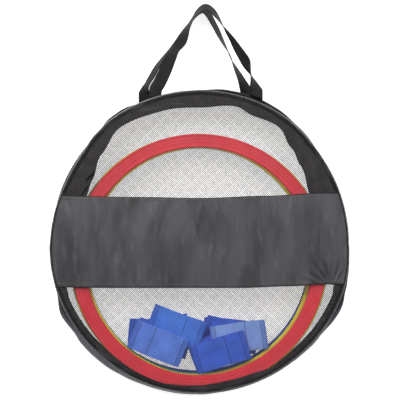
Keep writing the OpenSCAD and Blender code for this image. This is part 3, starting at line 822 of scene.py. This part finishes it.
class RINGBAG_OT_finishes(Builder, bpy.types.Operator):
    """Makes the finishes and puts them on the rings and the zip's hard parts"""
    bl_idname = "ringbag.finishes"
    bl_label = "Finishes"

    def build(self, sizes, colours):
        FINISHES.update(
            strand=strand_finish(colours.strands), band=band_finish(colours.band),
            cloth=cloth_finish("gusset_cloth", colours.cloth, 0),
            # The lower cloths: the same black nylon with painted sheen
            cloth_low=cloth_finish("lower_cloth", colours.cloth, 0.9),
            lip=cloth_finish("lip_cloth", tint(colours.cloth, 3.6), 0),
            vinyl=vinyl_finish(colours.vinyl), webbing=webbing_finish(colours.webbing),
            tape=tape_finish(colours.cloth), metal=metal_finish(), tooth=tooth_finish(),
            grey_thread=thread_finish("grey_thread", (0.05, 0.05, 0.055)))
        # The connectors' nylon and its copies with more and less painted sheen
        for key, name in (("pad", "connector_nylon"), ("pad_light", "connector_light"),
                          ("pad_pale", "connector_pale"), ("pad_deep", "connector_deep")):
            FINISHES[key] = pad_finish(name, getattr(colours, key))
        for name in COLOURS:
            low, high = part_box(f"ring_{name}_{RINGS_PER_COLOUR}")
            middle = ((low[0] + high[0]) / 2, (low[1] + high[1]) / 2)
            FINISHES[name] = plastic_finish(
                name + "_plastic", getattr(colours, name), middle, (high[0] - low[0]) / 2)
            for k in range(RINGS_PER_COLOUR):
                self.coat(f"ring_{name}_{k + 1}", FINISHES[name])
        for node in ("zip_teeth_back", "zip_teeth_ends", "zip_teeth_cover"):
            self.coat(node, FINISHES["tooth"])
        for node in ("zip_stops", "zip_slider", "zip_pull"):
            self.coat(node, FINISHES["metal"])

    @staticmethod
    def coat(node, material):
        """Puts a material on a node of the frame, in place of its plain one."""
        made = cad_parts[node]
        if made.material_slots:
            made.material_slots[0].material = material
        else:
            made.data.materials.append(material)


class RINGBAG_OT_nets(Builder, bpy.types.Operator):
    """Builds the front net and the back net"""
    bl_idname = "ringbag.nets"
    bl_label = "Nets"

    def build(self, sizes, colours):
        rim = WALL_R - 1.5 * MM
        slack = 1.4 * MM
        hidden = BAND_TOP - 10 * MM
        front = net("front_net", sizes.net_pitch, sizes.strand,
                    lambda x, y: (np.hypot(x, y) < rim + stray(x, y)) & (np.abs(y) > hidden),
                    front_height, FINISHES["strand"])
        fold_blend(front)
        front.visible_shadow = False
        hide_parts("mesh_cover", "mesh_lower")
        back = net("back_net", sizes.back_net_pitch, sizes.back_strand,
                   lambda x, y: np.hypot(x, y) < rim - slack / 2, back_height,
                   FINISHES["strand"], slack)
        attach(back, "bag")
        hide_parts("back_panel")


class RINGBAG_OT_piping(Builder, bpy.types.Operator):
    """Builds the piping of both corner seams and its sewn lips"""
    bl_idname = "ringbag.piping"
    bl_label = "Piping"

    def build(self, sizes, colours):
        for side, z, level, nodes in (
                ("front", BAG_H - PIPE_D / 2, NET_HIGH + 0.1 * MM,
                 ("piping_cover", "piping_lower")),
                ("back", PIPE_D / 2, SEAM_LOW, ("back_piping",))):
            seed = len(side)
            made = pipe("piping_" + side, z, FINISHES["vinyl"], seed)
            lip = flange("lip_" + side, level, FINISHES["lip"], seed)
            for part in (made, lip):
                if side == "front":
                    fold_blend(part)
                else:
                    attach(part, "bag")
            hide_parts(*nodes)


class RINGBAG_OT_gusset(Builder, bpy.types.Operator):
    """Builds the four cloths of the gusset, with the slack that is folded in under the net"""
    bl_idname = "ringbag.gusset"
    bl_label = "Gusset"

    def build(self, sizes, colours):
        for name, body, low, high, pleat, share, lap in (
                ("front", "cover", SLOT_HIGH, SEAM_HIGH, FRONT_PLEAT, 1.0, -0.02),
                ("back", "bag", SEAM_LOW, SLOT_LOW, None, BACK_SHARE, 0.4)):
            work = Patchwork()
            angles = arc_steps(-FOLD_A - lap, 180 + FOLD_A + lap)
            grid, run, tall = gusset_part(angles, low, high, pleat, share)
            work.add(grid, run)
            self.finish(work, f"gusset_{name}_cloth", body,
                        "gusset_cover" if pleat else "gusset_back", cloth_size(angles, tall))
        for name, whole, short, pleat in (
                ("left", (LEFT_END, 270), (180 + FOLD_A + 0.02, LEFT_END + 0.3), LEFT_PLEAT),
                ("right", (270, RIGHT_END), (RIGHT_END - 0.3, 360 - FOLD_A - 0.02), RIGHT_PLEAT)):
            work = Patchwork()
            angles = arc_steps(*whole)
            grid, run, tall = gusset_part(angles, SEAM_LOW, SEAM_HIGH, pleat)
            work.add(grid, run)
            beside = arc_steps(*short)
            from_zip_end = np.abs(beside - (LEFT_END if name == "left" else RIGHT_END)) / ZIP_END_A
            lower = 1 + (BACK_SHARE - 1) * from_zip_end
            for low, high, fold, share in (
                    (SEAM_LOW, SLOT_LOW, None, lower), (SLOT_HIGH, SEAM_HIGH, pleat, 1.0)):
                grid, run, _ = gusset_part(beside, low, high, fold, share)
                work.add(grid, run)
            flat = cloth_size(np.array([min(whole + short), max(whole + short)]), tall)
            self.finish(work, f"gusset_{name}_cloth", "bag", f"gusset_{name}", flat)

    @staticmethod
    def finish(work, name, body, node, flat):
        """One cloth: its thickness, its body, the node that it replaces and its flat size, which is
        not used.
        """
        # The lower cloths of the bag take the copy with painted sheen
        finish = FINISHES["cloth_low" if body == "bag" and node != "gusset_back" else "cloth"]
        made = solidify(work.make(name, finish), SHEET_T)
        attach(made, body)
        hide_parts(node)


class RINGBAG_OT_zip_tapes(Builder, bpy.types.Operator):
    """Builds the zip tapes of the bag and of the cover"""
    bl_idname = "ringbag.zip_tapes"
    bl_label = "Zip tapes"

    def build(self, sizes, colours):
        ends = -FOLD_A - ZIP_END_A, LEFT_END
        middle = (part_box("zip_tape_back")[1][2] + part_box("zip_tape_cover")[0][2]) / 2
        gap, count = 0.08 * MM, 8
        for name, node, body, spans in (
                ("tape_back", "zip_tape_back", "bag", (ends,)),
                ("tape_cover", "zip_tape_cover", "cover", ((-FOLD_A + 0.1, 180 + FOLD_A - 0.1),)),
                ("tape_ends", "zip_tape_ends", "bag",
                 ((ends[0], -FOLD_A - 0.1), (180 + FOLD_A + 0.1, ends[1])))):
            low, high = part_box(node)[0][2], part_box(node)[1][2]
            if high < middle:
                high = middle - gap
            else:
                low = middle + gap
            inner = WALL_R - CLOTH_T - 0.2 * MM
            work = Patchwork()
            for a0, a1 in spans:
                angles = arc_steps(a0, a1, 1.5)
                height = low + (high - low) * np.linspace(0, 1, count)
                grid = polar(np.full((len(angles), count), inner), angles[:, None], height[None])
                run = np.stack(np.broadcast_arrays(
                    np.radians(angles)[:, None] * inner, height[None]), -1)
                work.add(grid, run)
            made = solidify(work.make(name, FINISHES["tape"]), 0.6 * MM)
            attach(made, body)
            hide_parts(node)


class RINGBAG_OT_band(Builder, bpy.types.Operator):
    """Builds the plain band with its hems, soft folds and stitch rows"""
    bl_idname = "ringbag.band"
    bl_label = "Band"

    def build(self, sizes, colours):
        rows, columns = 110, 300
        v, u = np.linspace(0, 1, rows)[:, None], np.linspace(-1, 1, columns)[None]
        x, y, half = self.place(u, v)
        z = self.height(x, y, u, v, sizes.band_fold)
        grid = np.stack([x, y, z], -1)
        run = np.stack([x, BAND_TOP * (2 * v - 1) + 0 * u], -1)
        work = Patchwork()
        work.add(grid, run, flip=True)
        made = solidify(work.make("band_cloth", FINISHES["band"]), SHEET_T)
        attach(made, "cover")
        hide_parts("front_band")
        tall = float(np.mean(y[-1] - y[0]))
        float(np.mean(2 * half)) * tall
        inset, pitch, above = 2.6 * MM / tall, 3.4 * MM, 0.05 * MM
        for k, row in enumerate((inset, 1 - inset)):
            us = np.linspace(-0.985, 0.985, columns)
            xs, ys, _ = self.place(us, row)
            zs = self.height(xs, ys, us, row, sizes.band_fold) + above
            sewn = stitch_piece(
                f"band_stitches_{k + 1}", np.stack([xs, ys, zs], 1), pitch, FINISHES["grey_thread"])
            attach(sewn, "cover")

    @staticmethod
    def place(u, v):
        """Where a share u of the half width to the right and v of the height upwards lies: between
        the two edges, each straying from its line, and between the two seams."""
        middle = FOLD_Y + (BAND_TOP - FOLD_Y) * v
        x = np.sqrt(WALL_R ** 2 - middle ** 2) * u
        low = FOLD_Y + 0.1 * MM + curve(LOWER_EDGE, x / MM)
        high = BAND_TOP + curve(UPPER_EDGE, x / MM)
        y = low + (high - low) * v
        half = np.sqrt((WALL_R + 0.3 * MM + stray(x, y)) ** 2 - y ** 2)
        return half * u, y, half

    @staticmethod
    def height(x, y, u, v, fold):
        """Height of the band: flat hems, and between them ripples, the folds, each a bell curve
        across and along it, the puckers, a sine wave round their corner, and the pinches of the
        stitches, which die away from both edges."""
        middle = np.sin(np.pi * np.clip(v, 0, 1)) ** 0.4
        ends = np.clip((1 - np.abs(u)) * 14, 0, 1)
        folds = (1.2 + ripple(x, y * 0.35, 29, 8, 20, 90) * 0.9
                 + ripple(x, y * 0.4, 31, 9, 120, 260) * 0.4)
        for foot, head, level, reach, width, rise in BAND_FOLDS:
            aside = (x - (foot + (head - foot) * v) * MM) / (width * MM)
            folds = folds + rise * 0.6 * np.exp(-aside ** 2 - ((v - level) / reach) ** 2)
        (px, py), close, far, reach = PUCKERS
        dx, dy = x - px * MM, y - py * MM
        away = (np.hypot(dx, dy) / MM - far) / reach
        folds = folds + 0.9 * np.sin(np.arctan2(dy, -dx) * close) * np.exp(-away ** 2)
        pinch = np.sin(x * 520 + 3 * np.sin(x * 40)) * (np.exp(-v * 30) + np.exp((v - 1) * 30))
        hem = 0.35 * MM * ((v < HEM) | (v > 1 - HEM))
        base, depth = BAG_H + 0.7 * MM, 0.12 * MM
        return base + fold * folds * middle * ends + depth * pinch * ends + hem


class RINGBAG_OT_handles(Builder, bpy.types.Operator):
    """Builds the two webbing handles, each with its two sewn-down ends"""
    bl_idname = "ringbag.handles"
    bl_label = "Handles"

    def build(self, sizes, colours):
        for side, route, pivot_z, body, holder, up in (
                ("front", FRONT_HANDLE, FRONT_PIVOT_Z, "front_handle", "cover", 1),
                ("back", BACK_HANDLE, BACK_PIVOT_Z, "back_handle", "bag", -1)):
            made = self.strap("strap_" + side, route, pivot_z, sizes, up)
            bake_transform(made)
            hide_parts(body, body + "_ends")

    @staticmethod
    def smooth(route, steps):
        """Points on a smooth curve through every point of a route (Catmull and Rom's)."""
        p = np.array(route, float)
        p = np.concatenate([p[:1], p, p[-1:]])
        t = np.linspace(0, 1, steps, endpoint=False)[:, None]
        parts = [0.5 * (2 * p[i] + (p[i + 1] - p[i - 1]) * t
                        + (2 * p[i - 1] - 5 * p[i] + 4 * p[i + 1] - p[i + 2]) * t ** 2
                        + (3 * p[i] - p[i - 1] - 3 * p[i + 1] + p[i + 2]) * t ** 3)
                 for i in range(1, len(p) - 2)]
        return np.concatenate(parts + [p[-1:]])

    @classmethod
    def strap(cls, name, route, pivot_z, sizes, up):
        """Webbing from one sewn patch along a route to the other: a strip that rolls about its own
        run, thickened to both sides along its normals, less towards its edges by a power of 8."""
        pts = cls.smooth(route, 10)
        roll = np.radians(pts[:, 3])
        place = np.stack([pts[:, 0], pts[:, 1] + HANDLE_PIVOT_Y,
                          pts[:, 2] - route[0][2] + pivot_z], 1) * MM
        ahead = np.gradient(place, axis=0)
        ahead[0], ahead[-1] = (0, 1, 0), (0, -1, 0)
        ahead /= np.linalg.norm(ahead, axis=1, keepdims=True)
        side = np.cross(ahead, [0, 0, 1.0])
        side /= np.linalg.norm(side, axis=1, keepdims=True)
        across = side * np.cos(roll)[:, None] + np.cross(side, ahead) * np.sin(roll)[:, None]
        level = np.linspace(-1, 1, 13)
        w, t = sizes.strap_width / 2, sizes.strap_thickness / 2
        loop = place[:, None] + across[:, None] * (level * w)[None, :, None]
        first = cls.sewn_end(loop[0, :, 0], pivot_z * MM, t, up)
        last = cls.sewn_end(loop[-1, :, 0], pivot_z * MM, t, up)
        strip = np.concatenate([first, loop, last[::-1]])
        through = np.cross(np.gradient(strip, axis=0), np.gradient(strip, axis=1))
        through /= np.linalg.norm(through, axis=2, keepdims=True)
        through *= (t * (1 - 0.45 * np.abs(level) ** 8))[None, :, None]
        grid = np.concatenate([strip + through, (strip - through)[:, ::-1]], 1)
        closed = np.concatenate([strip, strip[:, ::-1]], 1)
        grid = np.concatenate([closed[:1], grid, closed[-1:]])
        steps = np.linalg.norm(np.diff(grid[:, 6], axis=0), axis=1)
        along = np.concatenate([[0], np.cumsum(steps)])
        over = np.concatenate([level, level[::-1]]) * w
        run = np.stack(np.broadcast_arrays(along[:, None], over), -1)
        work = Patchwork()
        work.add(grid, run, round_columns=True)
        return work.make(name, FINISHES["webbing"])

    @staticmethod
    def sewn_end(xs, pivot, half_t, up):
        """Rows of a sewn end: up the gusset as a patch, round a quarter circle and out to the
        pivot."""
        low, high = (SLOT_HIGH, SEAM_HIGH) if up > 0 else (SEAM_LOW, SLOT_LOW)
        share = 1.0 if up > 0 else BACK_SHARE
        angles = np.degrees(np.arccos(xs / (WALL_R + 5 * MM)))

        def wall(z):
            """How far out the strap's middle lies on the gusset at a height."""
            t = np.clip((z - low) / (high - low), 0, 1)
            radius = WALL_R + share * swell(angles, t) + 0.5 * MM + half_t
            return np.sqrt(radius ** 2 - xs ** 2)

        patch, bend = 9 * MM, 1.2 * MM
        rows = [(wall(pivot - up * drop), pivot - up * drop)
                for drop in np.linspace(patch, bend, 7)]
        foot = wall(pivot - up * bend)
        rows += [(foot + bend * (1 - math.cos(a)), pivot - up * bend * (1 - math.sin(a)))
                 for a in np.linspace(0, math.pi / 2, 5)[1:]]
        tip = HANDLE_PIVOT_Y * MM - 0.3 * MM
        rows += [((foot + bend) * (1 - s) + tip * s, pivot) for s in np.linspace(0.3, 1, 4)]
        return np.stack([np.stack([xs, y, z + 0 * xs], -1) for y, z in rows])


class RINGBAG_OT_connectors(Builder, bpy.types.Operator):
    """Builds the padded connectors that lie in the rings' holes"""
    bl_idname = "ringbag.connectors"
    bl_label = "Connectors"

    # A pad's sizes, and for each connector its turn in degrees, its bend per metre and its finish,
    # one blue nylon whose copies carry more and less painted sheen
    LENGTH, WIDTH, HEIGHT, FLAP = 88 * MM, 46 * MM, 6 * MM, 30 * MM
    SHELL = 0.6 * MM
    TURNS = (3, -6, -15, 20, 10, -12, -5, 20, -20, 8, 158, 17)
    BENDS = (1, -0.8, 0.6, -1, 0.8, 1.2, -0.6, 0.9, 2.4, -0.7, -0.6, -0.5)
    TONES = ("pad_deep",) * 8 + ("pad", "pad_pale", "pad_light", "pad_deep")

    def build(self, sizes, colours):
        for k, turn in enumerate(self.TURNS):
            node = f"connector_{k + 1:02d}"
            low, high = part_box(node)
            place = (low[0] + high[0]) / 2, (low[1] + high[1]) / 2, low[2]
            made = self.pad(f"pad_{k + 1:02d}", place, turn, k, FINISHES[self.TONES[k]])
            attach(made, node)
            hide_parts(node)

    @staticmethod
    def crown(across):
        """How full the pad is at a share of its half width: 1 in the middle, 0.62 at its edges."""
        return 0.62 + 0.38 * (1 - np.abs(across) ** 3)

    @classmethod
    def pad(cls, name, place, turn, seed, material):
        """A flat padded sleeve: a rounded oblong section, drawn by powers of cosine and sine, that
        is fuller between its sewn edges, and a flap over one end of it."""
        a = np.radians(turn)
        bend = cls.BENDS[seed]
        half_l, half_w = cls.LENGTH / 2, cls.WIDTH / 2
        around = np.linspace(0, 2 * np.pi, 49)[:-1]
        across = np.linspace(-1, 1, 25)
        sx = np.sign(np.cos(around)) * np.abs(np.cos(around)) ** 0.25
        sz = np.sign(np.sin(around)) * np.abs(np.sin(around)) ** 0.6
        x = half_l * sx[:, None] * (1 - 0.012 * across ** 2)
        z = cls.HEIGHT / 2 * (1 + 0.95 * sz[:, None] * cls.crown(across))
        y = half_w * across[None] + 0 * x
        z = z + 0.25 * MM * ripple(x, y, seed + 40, 5, 40, 120) * (np.abs(sz[:, None]) > 0.5)
        z = z - np.min(z)
        work = Patchwork()

        def put(x, y, z):
            """Points of the pad where it lies: bent, turned and moved."""
            y = y + bend * (x ** 2 - half_l ** 2 / 3)
            return np.stack([place[0] + x * np.cos(a) - y * np.sin(a),
                             place[1] + x * np.sin(a) + y * np.cos(a), place[2] + z], -1)

        grid = put(x, y, z)
        run = np.stack([x, y], -1)
        work.add(grid, run, round_rows=True)
        for side in (0, -1):
            edge = grid[:, side]
            middle = edge.mean(axis=0) + 0 * edge
            work.add(np.stack([edge, edge * 0.5 + middle * 0.5, middle], 1),
                     np.zeros((len(edge), 3, 2)), round_rows=True, flip=side == 0)
        s = np.linspace(0, 1, 13)[:, None]
        fx = half_l - cls.HEIGHT / 2 - cls.FLAP * s + 0 * across
        fy = half_w * across[None] * 0.99 + 0 * fx
        top = cls.HEIGHT * (0.5 + 0.475 * cls.crown(across))[None]
        fz = top + 0.45 * MM - 0.5 * MM * (1 - s) ** 4 + 0 * fx
        flap, under = put(fx, fy, fz), put(fx, fy, fz - cls.SHELL)
        work.add(flap, np.stack([fx, fy], -1))
        work.add(under, np.stack([fx, fy], -1), flip=True)
        rims = [np.concatenate([side[0], side[1:, -1], side[-1, -2::-1], side[-2:0:-1, 0]])
                for side in (flap, under)]
        work.add(np.stack(rims, 1), np.zeros((len(rims[0]), 2, 2)), round_rows=True, flip=True)
        return work.make(name, material)


class RINGBAG_OT_stage(Builder, bpy.types.Operator):
    """Sets the floor, the lamps, the world and the camera"""
    bl_idname = "ringbag.stage"
    bl_label = "Stage"

    # The view: how much of the front face the picture spans, and where its middle lies
    SPAN = 626 * MM
    MIDDLE_Y = 65.73 * MM
    # The floor lies this far below the bag
    FLOOR_Z = -0.6 * MM

    def build(self, sizes, colours):
        scene = bpy.context.scene
        scene.world = self.world()
        floor = self.floor()
        for name, place, width, power in (
                ("key", (-0.7, 0.95, 1.35), 1.1, 21), ("fill", (0.95, 0.6, 1.4), 1.1, 11),
                ("front", (0.1, -1.4, 1.4), 1.2, 5), ("top", (0.1, 0.2, 2.7), 0.5, 5)):
            light = bpy.data.lights.new(name, "AREA")
            light.energy, light.size = power, width
            lamp = bpy.data.objects.new(name, light)
            scene.collection.objects.link(lamp)
            lamp.location = place
            lamp.rotation_euler = self.facing(np.array([0, 0.05, 0.03]) - np.array(place))

        camera = bpy.data.cameras.new("camera")
        camera.angle = 2 * math.atan(self.SPAN / 2 / sizes.eye_height)
        eye = bpy.data.objects.new("camera", camera)
        scene.collection.objects.link(eye)
        eye.location = (0, self.MIDDLE_Y, BAG_H + sizes.eye_height)
        scene.camera = eye
        scene.view_settings.view_transform = "Standard"

    @classmethod
    def floor(cls):
        """White paper, whose glow the camera and the gloss see."""
        bpy.ops.mesh.primitive_plane_add(size=8, location=(0, 0, cls.FLOOR_Z))
        floor = bpy.context.object
        floor.name = "floor"
        f = Finish("floor_paper")
        path = f.node("ShaderNodeLightPath").socket.node
        seen = Term(f, path.outputs["Is Camera Ray"]) + Term(f, path.outputs["Is Glossy Ray"])
        grain = f.noise(f.place(), 30.0)
        floor.data.materials.append(f.surface(
            Base_Color=f.mix(grain, (0.78, 0.78, 0.78), (0.80, 0.80, 0.80)), Roughness=0.9,
            Emission_Color=(1, 1, 1, 1), Emission_Strength=seen * 0.75))
        return floor

    @staticmethod
    def world():
        """A studio that is white to the camera, and lights the bag more from below the lamps than
        from straight above."""
        f = Finish("studio", "worlds")
        height = f.parts(f.node("ShaderNodeTexCoord", out="Generated"))[2]
        glow = f.node("ShaderNodeMapRange", sockets={
            "Value": height, "From Max": 0.75, "To Min": 0.5, "To Max": 0.08})
        seen = f.node("ShaderNodeLightPath", out="Is Camera Ray")
        strength = f.node("ShaderNodeMix", sockets={0: seen, 2: glow, 3: 1.0})
        back = f.node("ShaderNodeBackground", sockets={
            "Color": (1, 1, 1, 1), "Strength": strength})
        return f.finished(back, "ShaderNodeOutputWorld")

    @staticmethod
    def facing(aim):
        """The turn that points a lamp's -Z along aim."""
        return Vector(aim).to_track_quat("-Z", "Y").to_euler()


OPERATORS = (
    RINGBAG_OT_stage, RINGBAG_OT_finishes, RINGBAG_OT_nets, RINGBAG_OT_piping, RINGBAG_OT_gusset,
    RINGBAG_OT_zip_tapes, RINGBAG_OT_band, RINGBAG_OT_handles, RINGBAG_OT_connectors,
)


class RINGBAG_PT_panel(bpy.types.Panel):
    """Lists the sizes, the colours and the steps that build the bag"""
    bl_idname = "RINGBAG_PT_panel"
    bl_label = "Ring Bag"
    bl_space_type = "VIEW_3D"
    bl_region_type = "UI"
    bl_category = "Ring Bag"

    def draw(self, context):
        for group in (context.scene.ring_bag_sizes, context.scene.ring_bag_colours):
            for key in group.__annotations__:
                self.layout.prop(group, key)
        for operator in OPERATORS:
            self.layout.operator(operator.bl_idname)


CLASSES = (RingBagSizes, RingBagColours, *OPERATORS, RINGBAG_PT_panel)


def register():
    for cls in CLASSES:
        bpy.utils.register_class(cls)
    bpy.types.Scene.ring_bag_sizes = bpy.props.PointerProperty(type=RingBagSizes)
    bpy.types.Scene.ring_bag_colours = bpy.props.PointerProperty(type=RingBagColours)


def unregister():
    del bpy.types.Scene.ring_bag_colours
    del bpy.types.Scene.ring_bag_sizes
    for cls in reversed(CLASSES):
        bpy.utils.unregister_class(cls)


def main():
    """Builds everything in order."""
    register()
    for operator in OPERATORS:
        group, name = operator.bl_idname.split(".")
        getattr(getattr(bpy.ops, group), name)()


if __name__ == "__main__":
    main()
